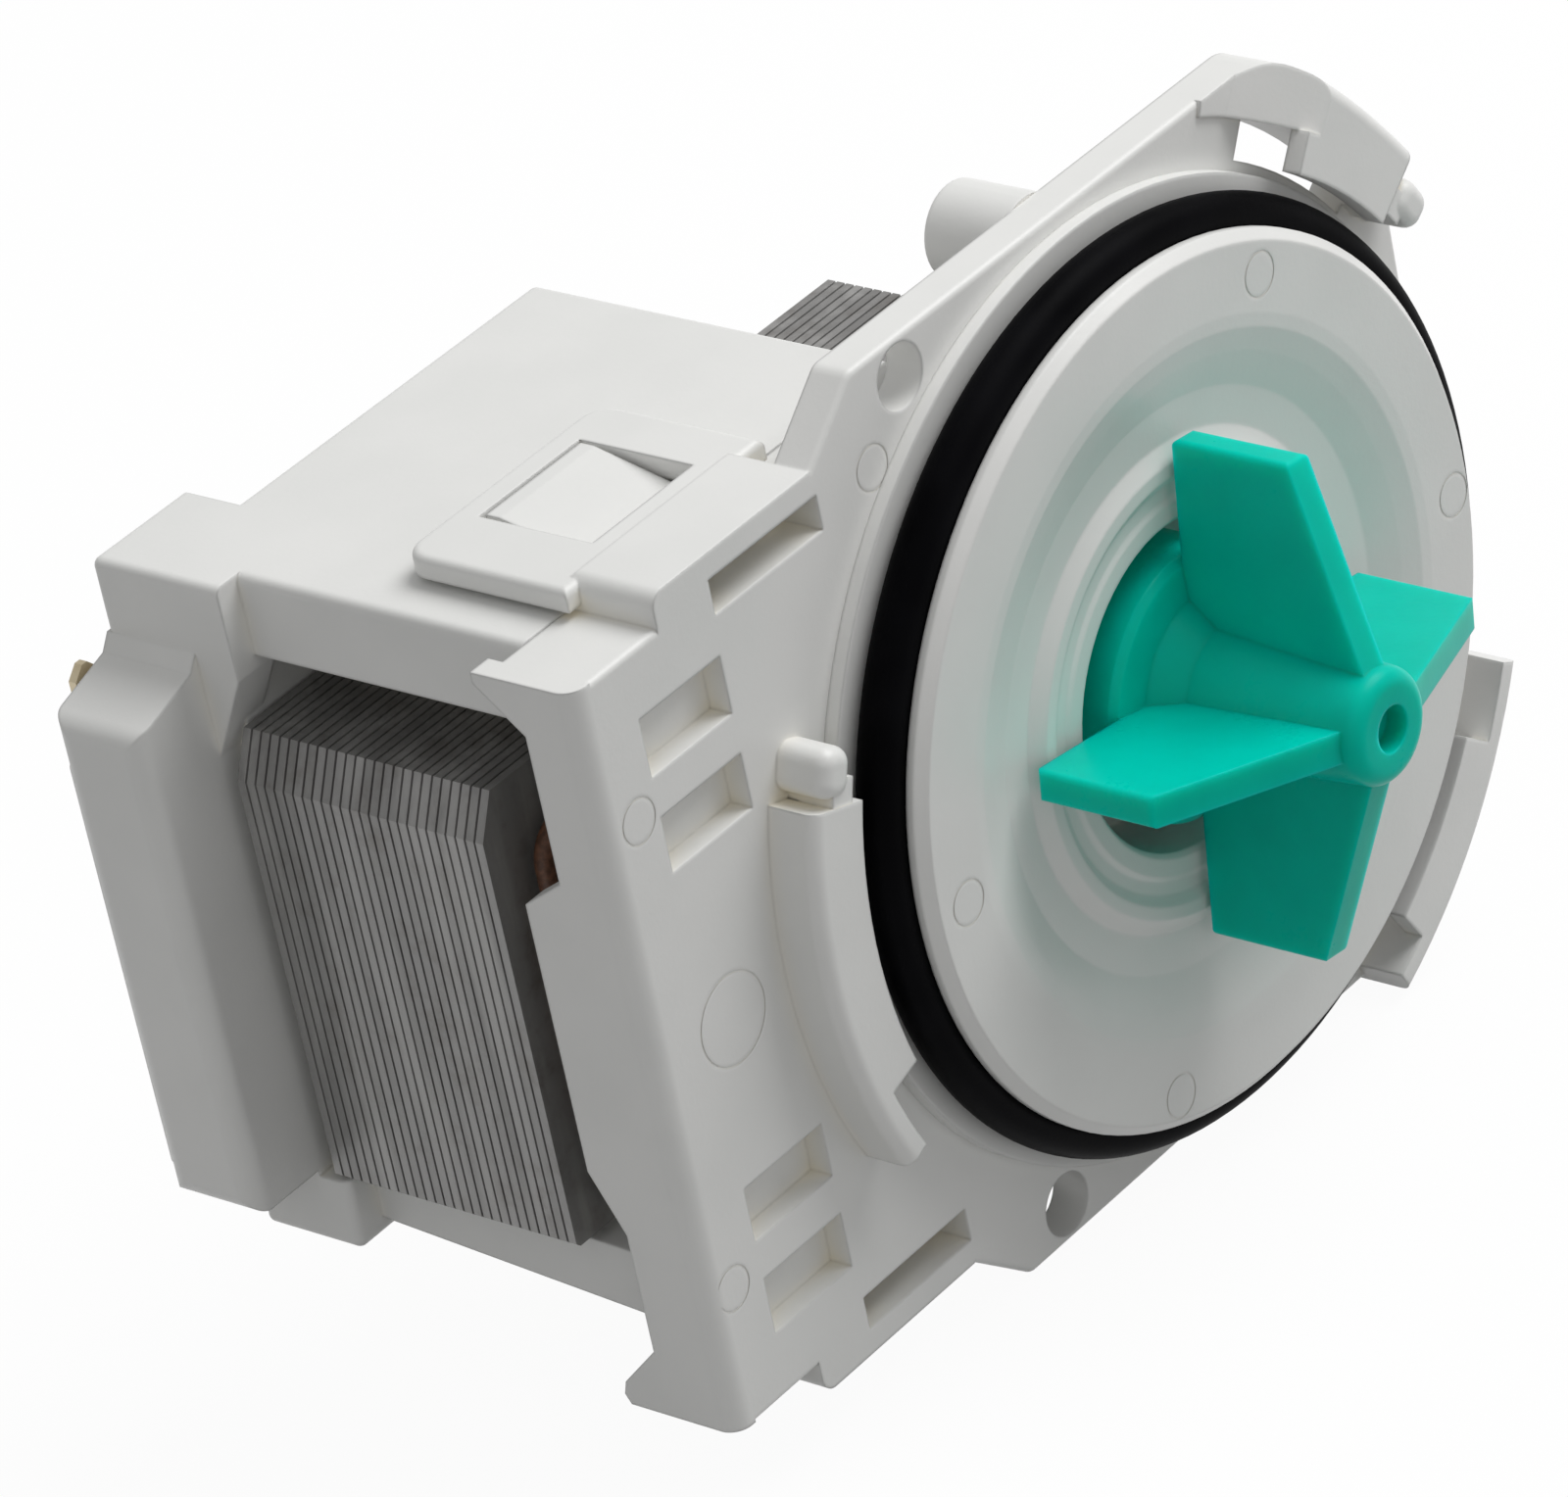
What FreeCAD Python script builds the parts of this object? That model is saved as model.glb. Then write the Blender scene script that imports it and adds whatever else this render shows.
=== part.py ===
import FreeCAD, Part
import math
import os

# Dishwasher drain pump: wet-rotor synchronous motor, seal flange and open impeller.
# Millimetres. The origin is on the pump axis at the front face of the mounting plate.
# -Y points at the impeller, +Y at the back of the motor, +Z up, +X away from the yoke.

V = FreeCAD.Vector
AXIS = V(0, 1, 0)

# Running and assembly clearances
running_gap = 0.04
seat_gap = 0.05
cover_gap = 0.1
free_gap = 0.3

# Wet end: round disc, seal groove and rotor can
disc_radius = 37.5
disc_stand = 7.0
disc_thickness = 1.6
disc_edge_round = 0.9
ring_cord = 4.0
ring_groove_depth = 1.5
collar_radius = 41.2
spigot_radius = 29.8
dish_radius = 29.5
dish_depth = 2.3
dish_wall = 2.2
bore_radius = 14.3
bore_lip_height = 0.5
bore_lip_width = 1.9
bore_floor = 3.4
can_wall = 1.0
can_end_wall = 1.4
can_end_round = 1.2
mark_radius = 2.0
mark_depth = 0.06
mark_line = 0.2
# Ejector rings on the disc: distance from the axis and angle
disc_marks = ((33.8, 63.7), (33.2, 181.6), (34.5, 358.0), (34.5, 248.0))

# Rotor
shaft_radius = 2.0
magnet_radius = 8.8
magnet_gap = 0.6
carrier_wall = 1.2
bearing_outer_radius = 5.0
bearing_length = 6.6
washer_radius = 4.6
washer_thickness = 0.7
retainer_thickness = 0.9
dog_disc_thickness = 1.3
dog_tooth_angle = 32.0
dog_tooth_length = 4.8
shaft_nose = 15.5

# Impeller
blade_count = 4
blade_radius = 22.0
blade_thickness = 2.8
blade_depth = 11.4
blade_turn = -8.0
cup_radius = 11.7
cup_wall = 1.4
cup_depth = 7.2
hub_front_radius = 4.9
nose_round = 1.4
hub_root_radius = 6.2
impeller_front = 25.2
impeller_back = 6.2
nose_hole_radius = 2.0
nose_hole_depth = 2.0
stop_tooth_angle = 30.0
coupling_free_half = 58.0

# Front cover: plate, bayonet lugs, skirt and latch loops
plate_thickness = 3.6
plate_top_inset = 5.3
plate_side_inset = 6.9
plate_left = -64.0
body_half_height = 34.4
body_right = -33.5
corner_chamfer_x = 6.5
loop_base_left = -53.5
loop_base_rise = 2.9
skirt_wall = 2.2
skirt_depth = 10.0
skirt_top_tab = 10.2
skirt_notch = 5.8
skirt_waist = 7.3
belly_top = 13.4
belly_bottom = -11.6
belly_slope_top = 2.8
belly_slope_bottom = 5.4
notch_inset_top = 4.8
hook_reach = 11.6
hook_height = 2.2
hook_slope = 4.0
hook_round = 0.9
pocket_depth = 2.2
pocket_left = -57.5
pocket_length = 10.0
# Pockets: distances of their far and near edges inside the body's top and bottom
pocket_insets = ((19.6, 14.6), (11.0, 5.8))
slot_left = -47.0
slot_length = 13.6
slot_inset = 2.4
slot_rise = 0.7
slot_end_wall = 2.0
slot_floor = 0.8
post_inset_x = 6.5
post_margin_x = 2.0
post_low = 4.0
post_high = 6.5
screw_hole_x = -21.4
screw_hole_edge = 3.4
screw_hole_radius = 2.8
dowel_radius = 4.2
dowel_x = 0.7
dowel_edge = 3.9
dowel_length = 8.0
dowel_round = 0.6
# Ejector rings on the plate: x, z and radius
plate_marks = ((-26.6, 33.8, 2.0), (-59.9, 20.9, 2.0), (-61.0, -22.0, 2.0), (-54.6, -0.5, 4.0))
lug_wall = 2.4
lug_lip_inner_radius = 42.0
lug_reach = 5.9
lug_height = 4.7
lug_lip_thickness = 1.8
lug_edge_round = 1.2
lug_slope_end = 0.3
lug_slope_lead = 2.2
lug_slope_angle = 9.0
lug_nub_width = 4.2
lug_nub_height = 4.9
lug_nub_inner = 1.5
lug_nub_outer = 0.9
lug_nub_round = 1.4
lug_slit = 0.5
lug_neck_reach = 3.4
shoulder_corner_inset = 20.4
shoulder_corner_round = 4.0
shoulder_bulge_angle = 45.0
shoulder_bulge = 1.4
edge_corner_inset = 21.3
plate_corner_round = 1.5
plate_edge_round = 0.5
plate_left_round = 1.8
# Each lug, in degrees: where its lip starts, what the lip spans, its wall before and after the lip, and how far
# the window runs past the lip; then whether the wall slopes down to its end, and whether it has a nub
lugs = (
    (163.0, 33.8, 0.0, 8.7, 1.0, False, True),
    (35.5, 18.2, 0.0, 11.7, 4.0, True, True),
    (301.0, 22.3, 5.0, 8.7, 1.0, False, False),
)

# Latch loop and catch
# The upper and lower loops: left edge, right edge, left and right edge of the opening
loop_spans = {1: (-55.0, -30.2, -48.2, -35.6), -1: (-49.6, -30.2, -45.6, -34.2)}
loop_thickness = 1.9
loop_rise = 0.6
loop_opening_front = 10.2
loop_opening_back = 21.8
loop_back_bar = 2.6
loop_arm_front = 7.4
loop_corner_round = 2.4
loop_edge_round = 0.7
base_round = 1.4
catch_rise = 2.5
catch_start_rise = 0.3
catch_crest = 1.4
catch_gap = 0.4

# Stator
core_left = -62.3
core_right = 15.9
core_half_height = 20.5
core_front = 14.8
stack_depth = 26.0
sheet_count = 26
groove_depth = 0.18
groove_share = 0.22
leg_inner = 5.2
yoke_width = 14.0
pole_gap = 0.4
yoke_chamfer_x = 2.0
yoke_chamfer_z = 3.8
yoke_drop = 0.9
yoke_corner = 0.4
coil_left = -47.9
coil_right = -18.5
bobbin_wall = 0.9
bobbin_flange = 1.0
bobbin_clearance = 0.1
coil_build = 2.3
wire_diameter = 0.8
wire_turns = 20
wire_seat = 0.03
wire_lead = 1.2
flange_overhang = 0.2
link_radius = 0.9
link_x = -57.5
link_z = 15.0
link_bend = 3.0

# Motor cover
cover_left = -59.4
cover_right = -12.8
cover_step = 0.1
cover_front = 8.8
cover_back = 46.1
cover_wall = 2.2
window_top = 27.2
notch_right = -50.0
rail_low_front = -29.0
rail_low_back = -26.4
rail_high_front = -22.9
hump_back = 48.6
hump_half_height = 27.5
hump_wall = 1.6
cover_edge_round = 0.8

# Connector block and terminals
block_left = -70.0
block_front = 42.5
block_back = 52.0
block_bottom = -21.2
block_top_left = 24.2
block_top_right = 26.4
housing_left = -61.8
housing_right = -50.6
housing_front = 38.4
housing_ramp_top = 26.0
housing_ramp_foot = 18.2
foot_bottom = -28.4
foot_front = 39.6
foot_back = 50.2
foot_proud = 3.0
shelf_back = 55.0
shelf_left = -67.0
shelf_right = -52.0
shelf_top = 18.0
block_edge_round = 1.8
blade_width = 2.8
blade_strip = 0.8
blade_top = 26.2
blade_tip = 1.1
strip_height = 3.0
terminal_places = ((-64.4, 15.5), (-56.6, -15.5))

# Derived places
loop_base_half_height = body_half_height + loop_base_rise
cover_half_height = body_half_height + cover_step
lug_outer_radius = lug_lip_inner_radius + lug_reach
lug_wall_inner = lug_outer_radius - lug_wall
plate_half_height = lug_outer_radius - plate_top_inset
plate_right = lug_outer_radius - plate_side_inset
shoulder_corner_x = lug_outer_radius - shoulder_corner_inset
edge_corner_z = lug_outer_radius - edge_corner_inset
screw_hole_z = plate_half_height - screw_hole_edge
dowel_z = plate_half_height - dowel_edge
rail_high_back = -core_half_height - yoke_drop - free_gap
disc_front = -disc_stand
disc_back = disc_front + disc_thickness
groove_radius = disc_radius - ring_groove_depth
collar_front = disc_back + ring_cord + seat_gap
can_inner = magnet_radius + magnet_gap
can_outer = can_inner + can_wall
pole_radius = can_outer + pole_gap
core_back = core_front + stack_depth
dish_floor = disc_front + dish_depth
bearing_front = bore_floor + retainer_thickness + free_gap
carrier_front = bearing_front + bearing_length + washer_thickness + free_gap
carrier_back = core_back + 1.4
rear_bearing_front = carrier_back + washer_thickness + free_gap
rear_bearing_back = rear_bearing_front + bearing_length
can_back = rear_bearing_back + can_end_wall + seat_gap
dog_back = bore_floor - free_gap
dog_front = dog_back - dog_disc_thickness
cup_front = -impeller_back
cup_back = cup_front + cup_depth + cup_wall
stop_tooth_back = dog_front - free_gap
sleeve_radius = shaft_radius + 2.2
cup_inner = cup_radius - cup_wall


def box(x0, x1, y0, y1, z0, z1):
    return Part.makeBox(x1 - x0, y1 - y0, z1 - z0, V(x0, y0, z0))


def tube(r_in, r_out, y0, y1):
    body = Part.makeCylinder(r_out, y1 - y0, V(0, y0, 0), AXIS)
    if r_in > 0:
        body = body.cut(Part.makeCylinder(r_in, y1 - y0, V(0, y0, 0), AXIS))
    return body


def polar(radius, angle, y):
    a = math.radians(angle)
    return V(radius * math.cos(a), y, radius * math.sin(a))


def face_from(points):
    return Part.Face(Part.makePolygon(list(points) + [points[0]]))


def prism_y(outline, y0, y1):
    """Solid from an outline of (x, z) points, pulled from y0 to y1."""
    return face_from([V(x, y0, z) for x, z in outline]).extrude(V(0, y1 - y0, 0))


def prism_x(outline, x0, x1):
    """Solid from an outline of (y, z) points, pulled from x0 to x1."""
    return face_from([V(x0, y, z) for y, z in outline]).extrude(V(x1 - x0, 0, 0))


def spun(profile):
    """Solid of revolution about the pump axis from (radius, y) points."""
    return face_from([V(r, y, 0) for r, y in profile]).revolve(V(0, 0, 0), AXIS, 360)


def sector(r_in, r_out, start, span, y0, y1):
    """Ring sector about the pump axis, from the start angle over the span in degrees."""
    middle = start + span / 2
    end = start + span
    edges = [
        Part.Arc(polar(r_out, start, y0), polar(r_out, middle, y0), polar(r_out, end, y0)).toShape(),
        Part.LineSegment(polar(r_out, end, y0), polar(r_in, end, y0)).toShape(),
        Part.Arc(polar(r_in, end, y0), polar(r_in, middle, y0), polar(r_in, start, y0)).toShape(),
        Part.LineSegment(polar(r_in, start, y0), polar(r_out, start, y0)).toShape(),
    ]
    return Part.Face(Part.Wire(edges)).extrude(V(0, y1 - y0, 0))


def mirrored_z(shape):
    return shape.mirror(V(0, 0, 0), V(0, 0, 1))


def flat_edges(shape, axis, value):
    """Edges that lie wholly in the plane where the axis ('x', 'y' or 'z') has the value."""
    found = []
    for edge in shape.Edges:
        bounds = edge.BoundBox
        low = {"x": bounds.XMin, "y": bounds.YMin, "z": bounds.ZMin}[axis]
        high = {"x": bounds.XMax, "y": bounds.YMax, "z": bounds.ZMax}[axis]
        if abs(low - value) < 1e-4 and abs(high - value) < 1e-4:
            found.append(edge)
    return found


def rounded_box(x0, x1, y0, y1, z0, z1, radius, sharp):
    """Box with rounded edges, save those in the planes given as (axis, value)."""
    solid = box(x0, x1, y0, y1, z0, z1)
    kept = [edge for axis, value in sharp for edge in flat_edges(solid, axis, value)]
    return solid.makeFillet(radius, [e for e in solid.Edges if not any(e.isSame(k) for k in kept)])


def plate_face():
    """Outline of the plate: straight sides, and a bulged shoulder round the upper right lug."""
    shoulder_x = body_right + corner_chamfer_x
    upper = [
        (plate_right, edge_corner_z), (plate_right, -edge_corner_z), (shoulder_corner_x, -plate_half_height),
        (shoulder_x, -plate_half_height), (body_right, -loop_base_half_height),
        (loop_base_left, -loop_base_half_height), (loop_base_left, -body_half_height),
        (plate_left, -body_half_height), (plate_left, body_half_height),
        (loop_base_left, body_half_height), (loop_base_left, loop_base_half_height),
        (body_right, loop_base_half_height), (shoulder_x, plate_half_height),
        (shoulder_corner_x, plate_half_height),
    ]
    points = [V(x, 0, z) for x, z in upper]
    edges = [Part.LineSegment(a, b).toShape() for a, b in zip(points, points[1:])]
    bulge = polar(lug_outer_radius + shoulder_bulge, shoulder_bulge_angle, 0)
    edges.append(Part.Arc(points[-1], bulge, points[0]).toShape())
    return Part.Face(Part.Wire(edges))


def plate_blank(y0, y1):
    """Slab with the plate's outline, its upright corners rounded, and more so at the shoulder."""
    slab = plate_face().extrude(V(0, y1 - y0, 0))
    slab.translate(V(0, y0, 0))
    for radius in (plate_corner_round, shoulder_corner_round, base_round):
        slab = slab.makeFillet(radius, [e for e in slab.Edges if e.BoundBox.YLength > plate_thickness - 0.01
                                        and corner_round(e.Vertexes[0].X, e.Vertexes[0].Z) == radius])
    return slab


def corner_round(x, z):
    """Radius of the plate's outline at one of its corners, or none."""
    if x > shoulder_corner_x - 1e-3 and z > edge_corner_z - 1e-3:
        return shoulder_corner_round
    if x > plate_right - 1e-3 or abs(z) > plate_half_height - 1e-3:
        return plate_corner_round
    if abs(x - loop_base_left) < 1e-3 and abs(z) > loop_base_half_height - 1e-3:
        return base_round
    return None


def lug(start, span, before, after, slopes, has_nub):
    """Bayonet lug: wall, inward lip and the round nub that stops the turn."""
    wall = sector(lug_wall_inner, lug_outer_radius + lug_reach, start - before, before + span + after,
                  -lug_height, plate_thickness)
    body = wall.common(lug_bound(start))
    outer = [e for e in flat_edges(body, "y", -lug_height) if e.Length > lug_reach
             and min(math.hypot(v.X, v.Z) for v in e.Vertexes) > lug_wall_inner + lug_edge_round]
    body = body.makeFillet(lug_edge_round, outer)
    if slopes:
        length = math.radians(lug_slope_angle) * lug_outer_radius
        slope = [(-lug_height, 0), (-lug_slope_end, length), (-lug_slope_end, 2 * length),
                 (-lug_height - 1.0, 2 * length), (-lug_height - 1.0, 0)]
        wedge = prism_x(slope, lug_lip_inner_radius, lug_outer_radius + 2 * lug_reach)
        wedge.rotate(V(0, 0, 0), AXIS, -(start + span - lug_slope_lead))
        body = body.cut(wedge)
    lip = sector(lug_lip_inner_radius, lug_wall_inner + seat_gap, start, span,
                 -lug_height, -lug_height + lug_lip_thickness)
    body = body.fuse(lip)
    if has_nub:
        turn = math.degrees((lug_slit + lug_nub_width / 2) / lug_lip_inner_radius)
        body = body.fuse(lug_nub(start - turn))
        neck_turn = math.degrees(lug_nub_width / lug_lip_inner_radius)
        body = body.fuse(sector(lug_lip_inner_radius + lug_nub_inner - 0.5, lug_lip_inner_radius + lug_neck_reach,
                                start - neck_turn / 2, neck_turn / 2 + 0.5, -lug_height + 0.2, plate_thickness))
    return body


def lug_bound(start):
    """What a lug's wall is trimmed to: the plate's own edge at the shoulder, a cylinder elsewhere."""
    if 0 < start < 90:
        return plate_blank(-lug_nub_height, plate_thickness)
    return tube(0, lug_outer_radius, -lug_nub_height, plate_thickness)


def lug_nub(angle):
    """Round-nosed stop bar beside a lug's lip, built on the X axis and turned into place."""
    half = lug_nub_width / 2
    nub = box(lug_lip_inner_radius + lug_nub_inner, lug_outer_radius - lug_nub_outer,
              -lug_nub_height, plate_thickness, -half, half)
    upright = [e for e in nub.Edges if e.BoundBox.YLength > lug_nub_height]
    nub = nub.makeFillet(lug_nub_round, upright)
    nub = nub.makeFillet(lug_nub_round - 0.2, flat_edges(nub, "y", -lug_nub_height))
    nub.rotate(V(0, 0, 0), AXIS, -angle)
    return nub


def lug_window(start, span):
    """Opening in the plate right behind a lug's lip."""
    return sector(lug_lip_inner_radius + cover_gap, lug_wall_inner, start, span, -1.0, plate_thickness + 1.0)


def side_skirt():
    """Left side wall of the front cover, with its notch, belly and lower hook."""
    half = body_half_height
    outline = [
        (0, -half), (hook_reach - 0.5, -half), (hook_reach, -half + hook_round),
        (hook_reach - 0.4, -half + hook_height), (skirt_waist, -half + hook_height + hook_slope),
        (skirt_waist, belly_bottom - belly_slope_bottom), (skirt_depth, belly_bottom),
        (skirt_depth, belly_top), (skirt_notch, belly_top + belly_slope_top),
        (skirt_notch, half - notch_inset_top), (skirt_top_tab, half - 1.0), (skirt_top_tab, half), (0, half),
    ]
    return prism_x(outline, plate_left, plate_left + skirt_wall)


def latch_loop(side):
    """Square spring loop over the motor cover, with the thick base it grows from."""
    left, right, opening_left, opening_right = loop_spans[side]
    low_z = cover_half_height + loop_rise
    top_z = low_z + loop_thickness
    back = loop_opening_back + loop_back_bar
    frame = box(left, right, loop_arm_front, back, low_z, top_z)
    upright = [e for e in frame.Edges if e.BoundBox.ZLength > loop_thickness / 2
               and e.Vertexes[0].Y > back - 1e-3]
    frame = frame.makeFillet(loop_corner_round, upright)
    frame = frame.makeFillet(loop_edge_round, flat_edges(frame, "z", top_z))
    hole = box(opening_left, opening_right, loop_opening_front, loop_opening_back, low_z - 1, top_z + 1)
    base_outline = [
        (0, body_half_height - 1.0), (0, loop_base_half_height), (loop_opening_front - 2.0, loop_base_half_height),
        (loop_opening_front - 1.2, top_z - 0.4), (loop_opening_front - 1.2, low_z), (cover_front - cover_gap, low_z),
        (cover_front - cover_gap, body_half_height - 1.0),
    ]
    base = prism_x(base_outline, loop_base_left, body_right)
    base = base.makeFillet(base_round, [e for e in base.Edges if e.BoundBox.XMax < loop_base_left + 1e-3
                                        and e.BoundBox.ZMin > loop_base_half_height - 1e-3])
    body = base.fuse(frame.cut(hole))
    return body if side > 0 else mirrored_z(body)


def sided(shape, side):
    """The shape itself above the axis, its mirror image below."""
    return shape if side > 0 else mirrored_z(shape)


def ring_mark(place, radius):
    """Thin ring that an ejector pin leaves, to be cut into a face that looks to the front."""
    ring = Part.makeCylinder(radius, 2 * mark_depth, place, AXIS)
    return ring.cut(Part.makeCylinder(radius - mark_line, 2 * mark_depth, place, AXIS))


def front_cover():
    plate = plate_blank(0, plate_thickness)
    left_edge = [e for e in flat_edges(plate, "y", 0) if e.BoundBox.XMax < plate_left + 1e-3]
    plate = plate.makeFillet(plate_left_round, left_edge)
    rim = [e for e in flat_edges(plate, "y", 0) if e.BoundBox.XMin > plate_left + plate_left_round + 1.0
           or e.BoundBox.XMax > plate_left + 2 * plate_left_round]
    plate = plate.makeFillet(plate_edge_round, rim)
    skirt = side_skirt()
    skirt = skirt.makeFillet(plate_left_round, [e for e in flat_edges(skirt, "y", 0)
                                                if e.BoundBox.XMax < plate_left + 1e-3])
    body = plate.fuse(skirt)
    wall_right = screw_hole_x + screw_hole_radius
    top_wall = box(plate_left, wall_right, plate_left_round, cover_front - cover_gap,
                   body_half_height - skirt_wall, body_half_height)
    yoke_post = box(core_left + post_inset_x, core_left + yoke_width - post_margin_x, plate_thickness - 0.5,
                    core_front - cover_gap, post_low, post_high)
    for side in (1, -1):
        body = body.fuse(sided(top_wall, side)).fuse(sided(yoke_post, side)).fuse(latch_loop(side))
    body = body.fuse(box(plate_left, notch_right - free_gap, plate_left_round, skirt_depth,
                         -body_half_height, -body_half_height + skirt_wall))
    dowel = Part.makeCylinder(dowel_radius, dowel_length, V(dowel_x, plate_thickness, dowel_z), AXIS)
    body = body.fuse(dowel.makeFillet(dowel_round, flat_edges(dowel, "y", plate_thickness + dowel_length)))
    for start, span, before, after, _, slopes, has_nub in lugs:
        body = body.fuse(lug(start, span, before, after, slopes, has_nub))
    body = body.cut(tube(0, spigot_radius + seat_gap, -1, plate_thickness + 1))
    body = body.cut(tube(0, collar_radius + cover_gap, -disc_stand, 0))
    for start, span, _, _, window_past, _, _ in lugs:
        body = body.cut(lug_window(start, span + window_past))
    slot_base = box(slot_left - skirt_wall, slot_left + slot_length + skirt_wall, 0, cover_front - cover_gap,
                    body_half_height - slot_inset - slot_floor, body_half_height - 1.0)
    for side in (1, -1):
        body = body.fuse(sided(slot_base, side))
    slot = box(slot_left, slot_left + slot_length, -1, cover_front - slot_end_wall,
               body_half_height - slot_inset, body_half_height + slot_rise)
    for side in (1, -1):
        body = body.cut(sided(slot, side))
        body = body.cut(Part.makeCylinder(screw_hole_radius, plate_thickness + 2,
                                          V(screw_hole_x, -1, side * screw_hole_z), AXIS))
        for far, near in pocket_insets:
            pocket = box(pocket_left, pocket_left + pocket_length, -1, pocket_depth,
                         body_half_height - far, body_half_height - near)
            body = body.cut(sided(pocket, side))
    for x, z, radius in plate_marks:
        body = body.cut(ring_mark(V(x, -mark_depth, z), radius))
    return body.removeSplitter()


def wet_end():
    """Disc with its dish, seal groove, collar and spigot, and the can round the rotor."""
    lip_outer = bore_radius + bore_lip_width
    lip_front = dish_floor - bore_lip_height
    ridge_outer = lip_outer + 4.2
    shell_back = dish_floor + dish_wall
    end_chamfer = can_end_round * (1.0 - math.sqrt(0.5))
    profile = [
        (0, can_back), (0, can_back - can_end_wall), (can_inner, can_back - can_end_wall),
        (can_inner, bore_floor), (bore_radius, bore_floor), (bore_radius, lip_front + 0.4),
        (bore_radius + 0.4, lip_front), (lip_outer, lip_front), (lip_outer + 0.5, dish_floor - 0.3),
        (lip_outer + 1.6, dish_floor - 0.3), (lip_outer + 2.4, dish_floor - 0.9),
        (ridge_outer - 0.6, dish_floor - 0.9), (ridge_outer + 0.8, dish_floor),
        (dish_radius - 5.0, dish_floor - 0.35), (dish_radius - 2.0, disc_front + 0.75),
        (dish_radius, disc_front + 0.1), (dish_radius + 1.2, disc_front),
        (disc_radius - disc_edge_round, disc_front), (disc_radius, disc_front + disc_edge_round),
        (disc_radius, disc_back), (groove_radius, disc_back), (groove_radius, collar_front),
        (collar_radius, collar_front), (collar_radius, 0), (spigot_radius, 0),
        (spigot_radius, plate_thickness), (spigot_radius - dish_wall, plate_thickness),
        (spigot_radius - dish_wall, shell_back), (bore_radius + dish_wall, shell_back),
        (bore_radius + dish_wall, bore_floor + dish_wall), (can_outer, bore_floor + dish_wall),
        (can_outer, can_back - can_end_round), (can_outer - end_chamfer, can_back - end_chamfer),
        (can_outer - can_end_round, can_back),
    ]
    body = spun(profile)
    post_radius = 1.6
    for x in (-8.0, 8.0):
        for z in (-16.5, 16.5):
            body = body.fuse(Part.makeCylinder(post_radius, core_front - seat_gap - shell_back + 0.5,
                                               V(x, shell_back - 0.5, z), AXIS))
    for distance, angle in disc_marks:
        body = body.cut(ring_mark(polar(distance, angle, disc_front - mark_depth), mark_radius))
    return body


def seal_ring():
    centre = groove_radius + ring_cord / 2 + seat_gap
    return Part.makeTorus(centre, ring_cord / 2, V(0, disc_back + ring_cord / 2 + seat_gap / 2, 0), AXIS)


def impeller_blade():
    """One blade in the X-Y plane, from the hub out, before it is turned into place."""
    root = shaft_radius + 1.0
    nose = -impeller_front
    outline = [
        V(root, cup_front, 0), V(blade_radius, cup_front, 0),
        V(blade_radius, cup_front - blade_depth, 0), V(hub_front_radius - 0.4, nose + 1.4, 0),
        V(root, nose + 1.4, 0),
    ]
    blade = face_from(outline).extrude(V(0, 0, blade_thickness))
    blade.translate(V(0, 0, -blade_thickness / 2))
    tip = [e for e in blade.Edges if min(v.X for v in e.Vertexes) > blade_radius - 1e-3]
    return blade.makeFillet(0.5, tip)


def impeller():
    hub_profile = [
        (0, -impeller_front), (hub_front_radius, -impeller_front), (hub_front_radius + 0.4, -impeller_front + 6.0),
        (hub_root_radius, cup_front - 3.0), (hub_root_radius + 2.0, cup_front - 0.4),
        (cup_radius - 0.6, cup_front), (cup_radius, cup_front + 0.6), (cup_radius, cup_back),
        (cup_inner, cup_back), (cup_inner, cup_front + cup_wall), (sleeve_radius, cup_front + cup_wall),
        (sleeve_radius, stop_tooth_back), (shaft_radius + running_gap, stop_tooth_back),
        (shaft_radius + running_gap, -shaft_nose - free_gap), (0, -shaft_nose - free_gap),
    ]
    body = spun(hub_profile)
    body = body.makeFillet(nose_round, flat_edges(body, "y", -impeller_front))
    for index in range(blade_count):
        blade = impeller_blade()
        blade.rotate(V(0, 0, 0), AXIS, -(90.0 + blade_turn + index * 360.0 / blade_count))
        body = body.fuse(blade)
    body = body.cut(Part.makeCylinder(nose_hole_radius, nose_hole_depth, V(0, -impeller_front, 0), AXIS))
    for base in (90.0, 270.0):
        body = body.fuse(sector(sleeve_radius - 0.2, cup_inner + 0.2, base - stop_tooth_angle / 2,
                                stop_tooth_angle, cup_front + cup_wall - 0.2, stop_tooth_back))
    return body.removeSplitter()


def drive_dog():
    """Disc pressed on the shaft whose two teeth push the impeller's stops."""
    outer = cup_inner - free_gap
    body = tube(shaft_radius, outer, dog_front, dog_back)
    for base in (0.0, 180.0):
        body = body.fuse(sector(sleeve_radius + free_gap, outer, base - dog_tooth_angle / 2,
                                dog_tooth_angle, dog_front - dog_tooth_length, dog_front + 0.2))
    return body.removeSplitter()


def bearing(front):
    return tube(shaft_radius + running_gap, bearing_outer_radius, front, front + bearing_length)


def bearing_rubber(front):
    body = tube(bearing_outer_radius + 0.02, can_inner - seat_gap, front, front + bearing_length)
    rib_radius = can_inner - 1.6
    for index in range(8):
        place = polar(rib_radius, index * 45.0, front - 1)
        body = body.cut(Part.makeCylinder(0.8, bearing_length + 2, place, AXIS))
    return body


def thrust_washers():
    front = tube(shaft_radius + 0.02, washer_radius, carrier_front - washer_thickness, carrier_front)
    back = tube(shaft_radius + 0.02, washer_radius, carrier_back, carrier_back + washer_thickness)
    return Part.makeCompound([front, back])


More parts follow.
